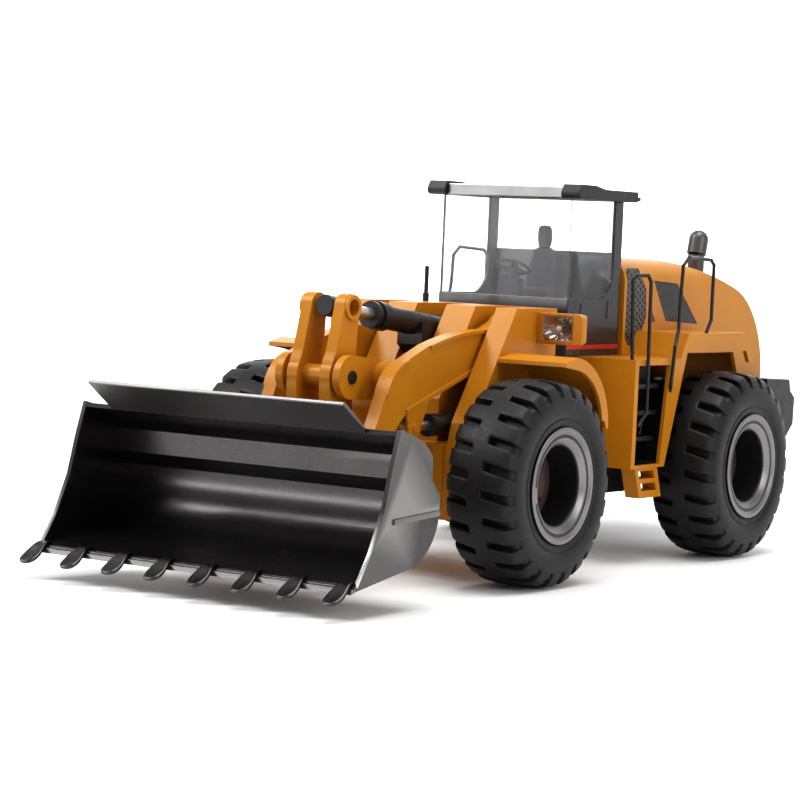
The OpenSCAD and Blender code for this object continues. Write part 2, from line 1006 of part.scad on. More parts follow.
// Cutting edge with its row of spoon-shaped teeth
module toothed_edge() {
    pitch = (2 * bucket_half - tooth_w - 0.5) / (tooth_count - 1);
    color(graphite)
        machine()
            difference() {
                union() {
                    plate(-bucket_half, bucket_half)
                        polygon([edge_p, [-191.5, 13.7], [-191, 16.3], [-186.5, 17.6]]);
                    for (i = [0 : tooth_count - 1])
                        translate([-bucket_half + tooth_w / 2 + 0.25 + i * pitch, 0, 0])
                            plate(-tooth_w / 2, tooth_w / 2)
                                polygon([
                                    [-183, 18.16], [-184, 19.6], [-190, 18.4], [-195, 15.2], [-199.5, 11.8],
                                    [-203.5, 10], [-204, 8.6], [-200, 7.6], [-195.5, 9.2], [-191.5, 12.2],
                                    edge_p, [-186.5, 17.6]
                                ]);
                }
                // Room for the side plates' front corners
                both_sides()
                    plate(bucket_half - bucket_wall, bucket_half + 1)
                        side_outline();
            }
}

module bucket_pins() {
    color(silver)
        machine()
            both_sides() {
                pin_x(bucket_pin_r, hinge_in - cheek_t, hinge_out + cheek_t, bucket_pivot);
                pin_x(3.6, hinge_out + cheek_t, hinge_out + cheek_t + 0.8, bucket_pivot);
            }
}

/* Wheels */

module tyre(side, y) {
    color(rubber_black)
        machine()
            translate([side * track_half, y, hub_z])
                rotate([0, 90 * side, 0])
                    rotate_extrude()
                        polygon(concat(
                            [[31, -20], [33, -21]], arc([41, -14], 8, 225, 290, 4),
                            [[54.5, -tread_half], [tyre_r - 0.8, -tread_half + 1.5], [tyre_r, -8], [tyre_r, 8]],
                            [[tyre_r - 0.8, tread_half - 1.5], [54.5, tread_half]],
                            arc([41, 14], 8, 70, 135, 4), [[33, 21], [31, 20]]
                        ));
}

module rim(side, y) {
    color(silver)
        machine()
            translate([side * track_half, y, hub_z])
                rotate([0, 90 * side, 0])
                    rotate_extrude()
                        polygon([
                            [rim_open_r, -18], [31, -18], [31, 20], [rim_r, 21.1], [rim_r, 22.2], [30, 22.4],
                            [29, 21.2], [26, 21.2], [rim_open_r + 1.5, 19.5], [rim_open_r, 18]
                        ]);
}

// Hub of one left wheel: a bolted disc in the rim, on its half shaft
module hub(y) {
    color("#5d4f4a")
        machine() {
            pin_x(rim_open_r, track_half - 4, track_half, [y, hub_z]);
            pin_x(10, track_half, track_half + 4, [y, hub_z]);
            for (a = [0 : 36 : 324])
                pin_x(1.3, track_half, track_half + 1.4, [y, hub_z] + 15 * dir(a));
            pin_x(shaft_r, 16, track_half - 4, [y, hub_z]);
        }
}

rear_chassis();
rear_deck();
rear_fender();  // rear_fender_left
mirror([1, 0, 0]) rear_fender();  // rear_fender_right
ladders();
lower_steps();
engine_hood();
hood_grilles();
exhaust_pipe();
counterweight();
rear_lamps();
handrails();
cab_body();
cab_windows();
cab_roof();
roof_panel();
seat();
steering_console();
steering_wheel();
battery();
battery_cover();
circuit_board();
drive_motor();
rear_axle_housing();
power_switch();
pivot_pin();
front_chassis();
front_fender();  // front_fender_left
mirror([1, 0, 0]) front_fender();  // front_fender_right
headlight_housings();
headlight_lenses();
antenna();
front_axle_housing();
tower_pins();
lift_arm();  // lift_arm_left
mirror([1, 0, 0]) lift_arm();  // lift_arm_right
cross_tube();
lever_pin();
levers();
tilt_link();
tilt_barrel();
tilt_rod();
lift_barrels();
lift_rods();
bucket_shell();
spill_guard();
toothed_edge();
bucket_pins();
tyre(1, 0);  // tyre_front_left
tyre(-1, 0);  // tyre_front_right
tyre(1, rear_y);  // tyre_rear_left
tyre(-1, rear_y);  // tyre_rear_right
rim(1, 0);  // rim_front_left
rim(-1, 0);  // rim_front_right
rim(1, rear_y);  // rim_rear_left
rim(-1, rear_y);  // rim_rear_right
hub(0);  // hub_front_left
mirror([1, 0, 0]) hub(0);  // hub_front_right
hub(rear_y);  // hub_rear_left
mirror([1, 0, 0]) hub(rear_y);  // hub_rear_right
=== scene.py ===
import json
import math

import bmesh
import bpy
import numpy as np
from mathutils import Matrix, Vector


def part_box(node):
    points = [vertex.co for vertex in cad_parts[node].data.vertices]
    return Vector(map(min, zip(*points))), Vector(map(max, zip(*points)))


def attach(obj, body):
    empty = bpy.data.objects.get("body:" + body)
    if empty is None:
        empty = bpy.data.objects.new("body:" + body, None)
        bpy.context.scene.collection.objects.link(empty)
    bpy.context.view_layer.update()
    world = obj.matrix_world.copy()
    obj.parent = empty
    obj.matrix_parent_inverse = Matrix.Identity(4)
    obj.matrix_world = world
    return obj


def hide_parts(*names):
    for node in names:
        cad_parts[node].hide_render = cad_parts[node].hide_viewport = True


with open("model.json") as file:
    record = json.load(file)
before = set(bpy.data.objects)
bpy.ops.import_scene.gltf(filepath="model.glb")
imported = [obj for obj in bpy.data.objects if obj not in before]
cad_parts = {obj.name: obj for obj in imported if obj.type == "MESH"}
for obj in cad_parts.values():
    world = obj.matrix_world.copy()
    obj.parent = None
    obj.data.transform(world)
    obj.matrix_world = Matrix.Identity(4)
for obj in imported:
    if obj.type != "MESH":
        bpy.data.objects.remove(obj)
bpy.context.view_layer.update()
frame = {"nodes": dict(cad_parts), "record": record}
NODES = frame["nodes"]

# ---------------------------------------------------------------- places taken from the CAD

SIDES = ((1, "left"), (-1, "right"))
FRONT_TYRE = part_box("tyre_front_left")
REAR_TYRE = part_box("tyre_rear_left")
AXLE_Y = {"front": sum(c[1] for c in FRONT_TYRE) / 2, "rear": sum(c[1] for c in REAR_TYRE) / 2}
HUB_Z = sum(c[2] for c in FRONT_TYRE) / 2
WHEEL_X = sum(c[0] for c in FRONT_TYRE) / 2
TYRE_R = (FRONT_TYRE[1][2] - FRONT_TYRE[0][2]) / 2
FRONT_Y = AXLE_Y["front"]


def at(x, y, z):
    """A point in metres from one in millimetres, with y measured from the front axle."""
    return (x / 1000, FRONT_Y + y / 1000, z / 1000)


def in_mm(corners):
    """The corners of a box in the millimetres that at() takes."""
    return [(x * 1000, (y - FRONT_Y) * 1000, z * 1000) for x, y, z in corners]


# ---------------------------------------------------------------- mesh helpers

def add_mesh(name, verts, faces, smooth=True):
    mesh = bpy.data.meshes.new(name)
    mesh.from_pydata([tuple(v) for v in verts], [], [tuple(f) for f in faces])
    mesh.update()
    obj = bpy.data.objects.new(name, mesh)
    bpy.context.scene.collection.objects.link(obj)
    if smooth:
        mesh.polygons.foreach_set("use_smooth", [True] * len(mesh.polygons))
    return obj


def apply_modifiers(obj):
    depsgraph = bpy.context.evaluated_depsgraph_get()
    mesh = bpy.data.meshes.new_from_object(obj.evaluated_get(depsgraph))
    obj.modifiers.clear()
    obj.data = mesh


def turn_faces_outward(obj):
    bm = bmesh.new()
    bm.from_mesh(obj.data)
    bmesh.ops.recalc_face_normals(bm, faces=bm.faces)
    bm.to_mesh(obj.data)
    bm.free()


def round_edges(obj, width, segments, sharper_than):
    """Rounds the edges that turn by more than the given angle in degrees; width is in metres."""
    mod = obj.modifiers.new("bevel", "BEVEL")
    mod.width = width
    mod.segments = segments
    mod.limit_method = "ANGLE"
    mod.angle_limit = math.radians(sharper_than)
    mod.harden_normals = True
    apply_modifiers(obj)


def subdivide(obj, levels):
    mod = obj.modifiers.new("smooth", "SUBSURF")
    mod.levels = mod.render_levels = levels
    apply_modifiers(obj)


# ---------------------------------------------------------------- materials

MIX_A, MIX_B, MIX_RESULT = 6, 7, 2      # the colour sockets of a Mix node
LOW, HIGH = 0.3, 0.7                    # where a noise pattern's useful range starts and ends


def new_material(name):
    mat = bpy.data.materials.new(name)
    mat.use_nodes = True
    tree = mat.node_tree
    return mat, tree, tree.nodes["Principled BSDF"]


def link(tree, a, b):
    tree.links.new(a, b)


def coords(tree):
    return tree.nodes.new("ShaderNodeTexCoord").outputs["Object"]


def noise(tree, vector, scale, detail=3.0, rough=0.5):
    n = tree.nodes.new("ShaderNodeTexNoise")
    n.inputs["Scale"].default_value = scale
    n.inputs["Detail"].default_value = detail
    n.inputs["Roughness"].default_value = rough
    link(tree, vector, n.inputs["Vector"])
    return n.outputs["Fac"]


def ramp(tree, value, stops):
    r = tree.nodes.new("ShaderNodeValToRGB")
    el = r.color_ramp.elements
    while len(el) < len(stops):
        el.new(0.5)
    for e, (p, c) in zip(el, stops):
        e.position = p
        e.color = (*c, 1.0)
    link(tree, value, r.inputs["Fac"])
    return r.outputs["Color"]


def map_range(tree, value, a, b, c, d):
    m = tree.nodes.new("ShaderNodeMapRange")
    for k, v in zip(("From Min", "From Max", "To Min", "To Max"), (a, b, c, d)):
        m.inputs[k].default_value = v
    link(tree, value, m.inputs["Value"])
    return m.outputs["Result"]


def drift(tree, pattern, dark, light):
    """Slow change between two colours."""
    return ramp(tree, pattern, [(LOW, dark), (HIGH, light)])


def uneven(tree, pattern, low, high):
    """A number that follows a pattern between two values."""
    return map_range(tree, pattern, LOW, HIGH, low, high)


def mix_colours(tree):
    mix = tree.nodes.new("ShaderNodeMix")
    mix.data_type = "RGBA"
    return mix


def bump(tree, height, strength, distance):
    b = tree.nodes.new("ShaderNodeBump")
    b.inputs["Strength"].default_value = strength
    b.inputs["Distance"].default_value = distance
    link(tree, height, b.inputs["Height"])
    return b.outputs["Normal"]


def plastic(name, dark, light, rough, coat=0.0, bump_strength=0.12, metallic=0.0, specular=0.4):
    """Moulded or painted plastic: slow colour drift, fine orange-peel bump, uneven gloss."""
    mat, tree, bsdf = new_material(name)
    v = coords(tree)
    slow = noise(tree, v, 22.0, 4.0)
    link(tree, drift(tree, slow, dark, light), bsdf.inputs["Base Color"])
    mid = noise(tree, v, 160.0, 3.0)
    link(tree, uneven(tree, mid, *rough), bsdf.inputs["Roughness"])
    fine = noise(tree, v, 900.0, 2.0)
    link(tree, bump(tree, fine, bump_strength, 0.0002), bsdf.inputs["Normal"])
    bsdf.inputs["Metallic"].default_value = metallic
    bsdf.inputs["Specular IOR Level"].default_value = specular
    bsdf.inputs["Coat Weight"].default_value = coat
    bsdf.inputs["Coat Roughness"].default_value = 0.15
    return mat


def graphite_paint(name, flake=0.40, gloss=0.22):
    """Dark metallic paint with fine bright flakes."""
    mat, tree, bsdf = new_material(name)
    v = coords(tree)
    flakes = tree.nodes.new("ShaderNodeTexVoronoi")
    flakes.inputs["Scale"].default_value = 2600.0
    link(tree, v, flakes.inputs["Vector"])
    slow = noise(tree, v, 30.0, 4.0)
    base = drift(tree, slow, (0.048, 0.045, 0.046), (0.068, 0.064, 0.065))
    bright = (flake, 0.96 * flake, 0.96 * flake)
    dim = (0.14 * flake, 0.13 * flake, 0.13 * flake)
    sparkle = ramp(tree, flakes.outputs["Distance"], [(0.0, bright), (0.42, dim)])
    mix = mix_colours(tree)
    mix.inputs["Factor"].default_value = 0.5
    link(tree, base, mix.inputs[MIX_A])
    link(tree, sparkle, mix.inputs[MIX_B])
    wear_edges(tree, mix.outputs[MIX_RESULT], (0.30, 0.29, 0.285), bsdf)
    bsdf.inputs["Metallic"].default_value = 0.9
    link(tree, uneven(tree, slow, gloss, gloss + 0.06), bsdf.inputs["Roughness"])
    link(tree, bump(tree, flakes.outputs["Distance"], 0.05, 0.0001), bsdf.inputs["Normal"])
    return mat


def rubber(name):
    """Matt black rubber with a fine grain."""
    mat, tree, bsdf = new_material(name)
    v = coords(tree)
    slow = noise(tree, v, 40.0, 5.0)
    colour = drift(tree, slow, (0.008, 0.008, 0.009), (0.015, 0.0145, 0.016))
    link(tree, colour, bsdf.inputs["Base Color"])
    fine = noise(tree, v, 700.0, 4.0)
    link(tree, uneven(tree, fine, 0.42, 0.56), bsdf.inputs["Roughness"])
    bsdf.inputs["Specular IOR Level"].default_value = 0.3
    link(tree, bump(tree, fine, 0.25, 0.0003), bsdf.inputs["Normal"])
    return mat


def wear_edges(tree, colour, worn, bsdf):
    """Lightens the raised edges, where the paint has rubbed."""
    geo = tree.nodes.new("ShaderNodeNewGeometry")
    mask = map_range(tree, geo.outputs["Pointiness"], 0.53, 0.60, 0.0, 0.75)
    mix = mix_colours(tree)
    link(tree, mask, mix.inputs["Factor"])
    link(tree, colour, mix.inputs[MIX_A])
    mix.inputs[MIX_B].default_value = (*worn, 1)
    link(tree, mix.outputs[MIX_RESULT], bsdf.inputs["Base Color"])


def mesh_grille(name):
    """Black mesh of crossed slanting bars."""
    mat, tree, bsdf = new_material(name)
    v = coords(tree)
    bars = []
    for turn in (35, -35):
        m = tree.nodes.new("ShaderNodeMapping")
        m.inputs["Rotation"].default_value = (math.radians(turn), 0, 0)
        link(tree, v, m.inputs["Vector"])
        w = tree.nodes.new("ShaderNodeTexWave")
        w.bands_direction = "Z"
        w.inputs["Scale"].default_value = 90.0
        link(tree, m.outputs["Vector"], w.inputs["Vector"])
        bars.append(w.outputs["Fac"])
    top = tree.nodes.new("ShaderNodeMath")
    top.operation = "MAXIMUM"
    link(tree, bars[0], top.inputs[0])
    link(tree, bars[1], top.inputs[1])
    colour = ramp(tree, top.outputs[0], [(0.55, (0.006, 0.006, 0.006)), (0.85, (0.06, 0.058, 0.058))])
    link(tree, colour, bsdf.inputs["Base Color"])
    link(tree, uneven(tree, noise(tree, v, 200.0), 0.4, 0.5), bsdf.inputs["Roughness"])
    link(tree, bump(tree, top.outputs[0], 0.8, 0.0005), bsdf.inputs["Normal"])
    return mat


def clear(name, tint, transmission):
    """Clear plastic; below full transmission it is slightly milky."""
    mat, tree, bsdf = new_material(name)
    v = coords(tree)
    n = noise(tree, v, 60.0, 2.0)
    bsdf.inputs["Base Color"].default_value = (*tint, 1)
    bsdf.inputs["Transmission Weight"].default_value = transmission
    link(tree, uneven(tree, n, 0.02, 0.06), bsdf.inputs["Roughness"])
    bsdf.inputs["IOR"].default_value = 1.15
    return mat


def metal(name, colour, rough, bump_strength=0.08):
    """Metal or metallic paint with slightly uneven gloss."""
    mat, tree, bsdf = new_material(name)
    v = coords(tree)
    slow = noise(tree, v, 90.0, 4.0)
    dark = tuple(c * 0.85 for c in colour)
    link(tree, drift(tree, slow, dark, colour), bsdf.inputs["Base Color"])
    bsdf.inputs["Metallic"].default_value = 1.0
    link(tree, uneven(tree, slow, rough - 0.04, rough + 0.06), bsdf.inputs["Roughness"])
    fine = noise(tree, v, 1400.0, 2.0)
    link(tree, bump(tree, fine, bump_strength, 0.0001), bsdf.inputs["Normal"])
    return mat


YELLOW = plastic("yellow", (0.44, 0.172, 0.010), (0.50, 0.202, 0.013), (0.30, 0.38), specular=0.24)
BLACK = plastic("black_trim", (0.009, 0.009, 0.010), (0.016, 0.016, 0.017), (0.36, 0.48))
DARK_GLOSS = plastic("cab_grey", (0.024, 0.023, 0.025), (0.036, 0.035, 0.037), (0.16, 0.26),
                     coat=0.1, bump_strength=0.05)
SEAT = plastic("seat_plastic", (0.012, 0.012, 0.022), (0.022, 0.021, 0.034), (0.42, 0.54))
SILVER = metal("silver_paint", (0.68, 0.67, 0.66), 0.32, 0.1)
RIM_PAINT = metal("rim_paint", (0.25, 0.243, 0.243), 0.36, 0.04)
ROOF_METAL = metal("roof_metal", (0.40, 0.39, 0.39), 0.33, 0.08)
STEEL = metal("pin_steel", (0.50, 0.49, 0.48), 0.3)
GRAPHITE = graphite_paint("graphite_paint")
RUBBER = rubber("tyre_rubber")
GLAZING = clear("glazing", (0.90, 0.91, 0.93), 0.955)
LAMP_COVER = clear("lamp_cover", (0.93, 0.88, 0.84), 1.0)
# Painted shade: a darker copy of the graphite paint, with dimmer flakes and less gloss, so that the spill guard
# looks shaded.
SHADED_GRAPHITE = graphite_paint("graphite_paint_painted_shade", flake=0.12, gloss=0.34)
GRILLE = mesh_grille("grille_mesh")
LENS = plastic("lens", (0.78, 0.70, 0.58), (0.90, 0.84, 0.74), (0.10, 0.18), coat=0.5, bump_strength=0.02)
LAMP = plastic("lamp", (0.80, 0.56, 0.20), (0.88, 0.66, 0.28), (0.12, 0.2), coat=0.5, bump_strength=0.02)
REFLECTOR = plastic("lamp_reflector", (0.30, 0.27, 0.25), (0.62, 0.58, 0.56), (0.12, 0.2),
                    metallic=0.9, bump_strength=0.02)
HUB = plastic("hub_brown", (0.075, 0.050, 0.043), (0.12, 0.085, 0.072), (0.4, 0.5), metallic=0.3)
BLUE = plastic("battery_wrap", (0.03, 0.11, 0.30), (0.05, 0.15, 0.36), (0.2, 0.3))
GREEN = plastic("board", (0.01, 0.10, 0.03), (0.02, 0.14, 0.05), (0.3, 0.4))
RED = plastic("switch_red", (0.45, 0.02, 0.02), (0.55, 0.03, 0.03), (0.3, 0.4))
EXHAUST = plastic("exhaust_grey", (0.075, 0.072, 0.072), (0.11, 0.105, 0.105), (0.30, 0.40), metallic=0.5)
MOTOR = metal("motor_case", (0.5, 0.49, 0.48), 0.4)

SLOT_LOOK = {
    "yellow_plastic": YELLOW, "black_plastic": BLACK, "graphite_plastic": GRAPHITE, "silver_plastic": SILVER,
    "tyre_rubber": RUBBER, "clear_plastic": GLAZING, "dark_grey_plastic": DARK_GLOSS, "seat_plastic": SEAT,
    "pin_steel": STEEL, "lens_plastic": LENS, "hub_plastic": HUB, "blue_wrap": BLUE, "board_green": GREEN,
    "motor_metal": MOTOR, "red_plastic": RED,
}
# Nodes that look different from the rest of their slot. The spill guard's darker graphite paint, with dimmer flakes,
# is painted shade.
NODE_LOOK = {
    "rear_lamps": LAMP, "hood_grilles": GRILLE, "spill_guard": SHADED_GRAPHITE, "exhaust_pipe": EXHAUST,
    "roof_panel": ROOF_METAL,
}
for axle in AXLE_Y:
    for side, word in SIDES:
        NODE_LOOK["rim_%s_%s" % (axle, word)] = RIM_PAINT
NODE_SLOT = {s["node"]: s["material_slot"] for s in frame["record"]["subparts"]}
NODE_BODY = {n: b for b, ns in frame["record"]["behaviour"]["bodies"].items() for n in ns}

# ---------------------------------------------------------------- pieces made from the CAD nodes


SAME_POINT = 0.000002       # metres
SAME_PLANE = 0.4            # degrees
EDGE_ROUNDING = 0.0005      # metres
SHARP_EDGE = 30             # degrees
FLAT_JOIN = 0.5             # degrees; below this, two faces are one plane
CURVED_JOIN = 12.0          # degrees; between the two, they are facets of one curve
SMALLEST_FLAT = 4e-6        # square metres


def finish_piece(obj, material, body, slot, *nodes):
    """Gives a piece its material and its body, and hides the CAD nodes it stands for."""
    obj.data.materials.append(material)
    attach(obj, body)
    if nodes:
        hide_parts(*nodes)


def per_item(collection, attribute, width, kind):
    values = np.empty(len(collection) * width, kind)
    collection.foreach_get(attribute, values)
    return values.reshape(-1, width) if width > 1 else values


def flatten_normals(mesh):
    """Gives the corners of each flat face that face's own normal, so large plates shade evenly."""
    corner = per_item(mesh.corner_normals, "vector", 3, np.float32)
    face = per_item(mesh.polygons, "normal", 3, np.float32)
    area = per_item(mesh.polygons, "area", 1, np.float32)
    corners = per_item(mesh.polygons, "loop_total", 1, np.int32)
    edge = per_item(mesh.loops, "edge_index", 1, np.int32)
    owner = np.repeat(np.arange(len(mesh.polygons)), corners)
    # Sorting the corners by edge puts the two faces of each edge side by side
    order = np.argsort(edge, kind="stable")
    edge_sorted, owner_sorted = edge[order], owner[order]
    pair = np.nonzero(edge_sorted[1:] == edge_sorted[:-1])[0]
    a, b = owner_sorted[pair], owner_sorted[pair + 1]
    turn = np.degrees(np.arccos(np.clip((face[a] * face[b]).sum(1), -1, 1)))
    on_a_curve = (turn > FLAT_JOIN) & (turn < CURVED_JOIN)
    curved = np.zeros(len(mesh.polygons), bool)
    curved[a[on_a_curve]] = True
    curved[b[on_a_curve]] = True
    pick = (~curved & (area > SMALLEST_FLAT))[owner]
    corner[pick] = face[owner[pick]]
    mesh.normals_split_custom_set(corner.tolist())


def node_look(node):
    return NODE_LOOK.get(node, SLOT_LOOK[NODE_SLOT[node]])


def soften(node):
    """A copy of a CAD node with its flat faces joined and its sharp edges rounded."""
    mesh = NODES[node].data.copy()
    obj = bpy.data.objects.new(node + "_moulded", mesh)
    bpy.context.scene.collection.objects.link(obj)
    bm = bmesh.new()
    bm.from_mesh(mesh)
    bmesh.ops.remove_doubles(bm, verts=bm.verts, dist=SAME_POINT)
    bmesh.ops.dissolve_limit(bm, angle_limit=math.radians(SAME_PLANE), verts=bm.verts, edges=bm.edges,
                             use_dissolve_boundaries=False)
    bm.to_mesh(mesh)
    bm.free()
    if mesh.has_custom_normals:
        bpy.context.view_layer.objects.active = obj
        bpy.ops.mesh.customdata_custom_splitnormals_clear()
    mesh.polygons.foreach_set("use_smooth", [True] * len(mesh.polygons))
    round_edges(obj, EDGE_ROUNDING, 2, SHARP_EDGE)
    flatten_normals(obj.data)
    obj.data.materials.clear()
    finish_piece(obj, node_look(node), NODE_BODY[node], NODE_SLOT[node], node)
    return obj


def second_look(obj, material, where):
    """Gives the faces that pass the test a second material."""
    obj.data.materials.append(material)
    for p in obj.data.polygons:
        if where(p.center):
            p.material_index = 1


# ---------------------------------------------------------------- tyres

LUGS = 24               # tread blocks in each row
GROOVE_DEPTH = 4.6      # at the crown, in mm
TREAD_PHASE = 0.87      # where the first groove falls, in pitches
TREAD_SLANT = 0.0135    # pitches that a groove moves round for each mm across
ROW_GAP = 3.9           # half width of the plain band between the two rows, in mm
BLOCK_CHAMFER = 0.09    # depth of a block's rounded rim, as a share of the groove
TREAD_CREASE = 38       # degrees; sharper edges than this stay crisp

# One pitch of tread: position and depth. Groove positions are in half widths from its middle, and
# block positions go from 0 to 1 along the block.
ONE_PITCH = (
    ("groove", -0.9, 1), ("groove", -0.3, 1), ("groove", 0.3, 1), ("groove", 0.9, 1),
    ("groove", 1.0, BLOCK_CHAMFER),
    ("block", 0.06, 0), ("block", 0.2, 0), ("block", 0.35, 0), ("block", 0.5, 0), ("block", 0.65, 0),
    ("block", 0.8, 0), ("block", 0.94, 0),
    ("groove", -1.0, BLOCK_CHAMFER),
)
# Half profile of the tyre in mm, as (x, radius) where it is plain
SIDEWALL = (
    (19.5, 31.0), (20.6, 32.2), (21.2, 34.0), (21.5, 36.5), (21.0, 37.2), (21.4, 37.9), (21.9, 40.5),
    (22.0, 43.5), (21.9, 46.0), (21.6, 48.0), (21.5, 48.3),
)
# The shoulder, as (x, radius, groove floor x, groove floor radius)
SHOULDER = (
    (21.4, 48.7, 20.3, 49.2), (21.1, 50.0, 20.0, 50.4), (20.9, 50.6, 19.9, 50.9), (20.1, 52.6, 19.4, 51.4),
)
# The tread, as (x, drop below the crown)
CROWN = ((18.9, 2.9), (17.4, 1.7), (15.6, 1.15), (13.0, 0.8), (10.5, 0.5), (8.0, 0.28), (5.6, 0.14))


def tyre_columns():
    """Profile from bead to bead as (x, radius, groove floor x, groove floor radius)."""
    top = TYRE_R * 1000
    half = [(x, r, x, r) for x, r in SIDEWALL]
    half += SHOULDER
    half += [(x, top - d, x, top - GROOVE_DEPTH - 0.35 * d) for x, d in CROWN]
    # The groove's inner end wall, then the plain centre band
    half += [(4.7, top - 0.1, 4.8, top - GROOVE_DEPTH), (4.4, top - 0.08, 4.4, top - 0.3)]
    half += [(x, top - d, x, top - d) for x, d in ((ROW_GAP, 0.06), (2.5, 0.02), (0.9, 0))]
    return [(-x, r, -fx, fr) for x, r, fx, fr in half] + half[::-1]


def tyre_mesh(name, axle, side):
    """Treaded tyre. Its mesh lines follow the groove edges, so the block edges are crisp."""
    columns = tyre_columns()
    rows = [(lug, *sample) for lug in range(LUGS) for sample in ONE_PITCH]
    cx, cy = side * WHEEL_X, AXLE_Y[axle]
    verts = []
    for lug, kind, t, depth in rows:
        for x, r, fx, fr in columns:
            half_width = 0.150 + 0.0034 * max(0.0, abs(x) - 6)
            stagger = 0.25 * max(-1.0, min(1.0, x / ROW_GAP))
            middle = lug + TREAD_PHASE + stagger + TREAD_SLANT * x
            if kind == "groove":
                # The last sample of a pitch belongs to the next groove
                phase = middle + t * half_width + (1 if t == -1.0 else 0)
            else:
                phase = middle + half_width + t * (1 - 2 * half_width)
            th = 2 * math.pi * phase / LUGS
            xx, rr = x + (fx - x) * depth, r + (fr - r) * depth
            verts.append((cx + xx / 1000, cy - rr * math.cos(th) / 1000, HUB_Z - rr * math.sin(th) / 1000))
    m, n = len(columns), len(rows)
    faces = []
    for j in range(n):
        k = (j + 1) % n
        faces += [(j * m + i, j * m + (i + 1) % m, k * m + (i + 1) % m, k * m + i) for i in range(m)]
    obj = add_mesh(name, verts, faces)
    turn_faces_outward(obj)
    obj.data.set_sharp_from_angle(angle=math.radians(TREAD_CREASE))
    return obj


for axle in AXLE_Y:
    for side, word in SIDES:
        node = "tyre_%s_%s" % (axle, word)
        finish_piece(tyre_mesh(node + "_treaded", axle, side), RUBBER, NODE_BODY[node], "tyre_rubber", node)

# ---------------------------------------------------------------- every other node

KEPT = {"cab_windows"}
MADE_BY_HAND = {
    "tyre_front_left", "tyre_front_right", "tyre_rear_left", "tyre_rear_right", "toothed_edge",
    "headlight_lenses", "headlight_housings", "seat",
}
BLACK_BARREL_R = 0.0228     # radius of the rims' black inside, in metres
KNUCKLE_LENGTH = 0.0150     # black front end of the tilt rod, in metres
FIRST_VENT_SHARE = 0.42     # how much of the hood grilles' length is the mesh vent

for node in sorted(NODES):
    if node in MADE_BY_HAND:
        continue
    if node in KEPT:
        for slot in NODES[node].material_slots:
            slot.material = node_look(node)
        continue
    piece = soften(node)
    low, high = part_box(node)
    if node.startswith("rim_"):
        axle_y = AXLE_Y[node.split("_")[1]]
        second_look(piece, BLACK, lambda c: math.hypot(c.y - axle_y, c.z - HUB_Z) < BLACK_BARREL_R)
    if node == "hood_grilles":
        second_look(piece, BLACK, lambda c: c.y > low[1] + FIRST_VENT_SHARE * (high[1] - low[1]))
    if node == "tilt_rod":
        second_look(piece, BLACK, lambda c: c.y < low[1] + KNUCKLE_LENGTH)

# ---------------------------------------------------------------- cutting edge and spoon teeth

def prism(name, outline, x0, x1, rounding):
    """Solid between two x planes from a y-z outline, with rounded edges, all in mm."""
    n = len(outline)
    verts = [at(x0, y, z) for y, z in outline] + [at(x1, y, z) for y, z in outline]
    faces = [tuple(range(n))[::-1], tuple(range(n, 2 * n))]
    faces += [(i, (i + 1) % n, n + (i + 1) % n, n + i) for i in range(n)]
    obj = add_mesh(name, verts, faces)
    turn_faces_outward(obj)
    round_edges(obj, rounding / 1000, 2, SHARP_EDGE)
    return obj


def loft(name, rings, steps, levels):
    """Closed smooth form through rings with the same number of points, in mm."""
    verts = [at(*point) for ring in rings for point in ring]
    faces = [(j * steps + k, j * steps + (k + 1) % steps, (j + 1) * steps + (k + 1) % steps, (j + 1) * steps + k)
             for j in range(len(rings) - 1) for k in range(steps)]
    last = (len(rings) - 1) * steps
    faces += [tuple(range(steps))[::-1], tuple(range(last, last + steps))]
    obj = add_mesh(name, verts, faces)
    turn_faces_outward(obj)
    subdivide(obj, levels)
    return obj


def squarish(angle, power):
    """Cosine and sine with their corners pushed out; a lower power is squarer."""
    c, s = math.cos(angle), math.sin(angle)
    return math.copysign(abs(c) ** power, c), math.copysign(abs(s) ** power, s)


EDGE_HALF = in_mm(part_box("toothed_edge"))[1][0]
EDGE_OUTLINE = [
    (-187, 15), (-191.5, 13.7), (-191, 16.3), (-189.7, 16.6), (-189.4, 16.1), (-188.4, 16.4), (-188.2, 17.0),
    (-186.5, 17.6),
]
edge_bar = prism("cutting_edge_bar", EDGE_OUTLINE, -EDGE_HALF, EDGE_HALF, 0.18)
finish_piece(edge_bar, GRAPHITE, "bucket", "graphite_plastic", "toothed_edge")

TEETH = 8
END_TOOTH_INSET = 5.5
# One tooth from its root to its tip, as (y, z, half width, half thickness) in mm
TOOTH = (
    (-182.6, 18.9, 2.5, 0.7), (-186.0, 19.2, 2.9, 1.2), (-189.5, 18.2, 3.6, 1.9), (-192.5, 16.0, 4.7, 2.3),
    (-196.0, 13.2, 5.5, 2.4), (-199.6, 11.2, 5.4, 2.2), (-202.2, 10.2, 4.2, 1.8), (-203.6, 9.8, 1.9, 1.0),
)
TOOTH_RING = 16


def tooth_ring(x, y, z, width, thickness):
    """Rounded cross section with a dished top."""
    ring = []
    for k in range(TOOTH_RING):
        a = 2 * math.pi * k / TOOTH_RING
        dish = 0.45 * max(0.0, math.sin(a)) * (1 - abs(math.cos(a)))
        ring.append((x + width * squarish(a, 0.7)[0], y, z + thickness * (math.sin(a) - 1.4 * dish)))
    return ring


for i in range(TEETH):
    x = -EDGE_HALF + END_TOOTH_INSET + i * 2 * (EDGE_HALF - END_TOOTH_INSET) / (TEETH - 1)
    tooth = loft("tooth_%d" % (i + 1), [tooth_ring(x, *section) for section in TOOTH], TOOTH_RING, 2)
    finish_piece(tooth, GRAPHITE, "bucket", "graphite_plastic", "toothed_edge")

# ---------------------------------------------------------------- headlights

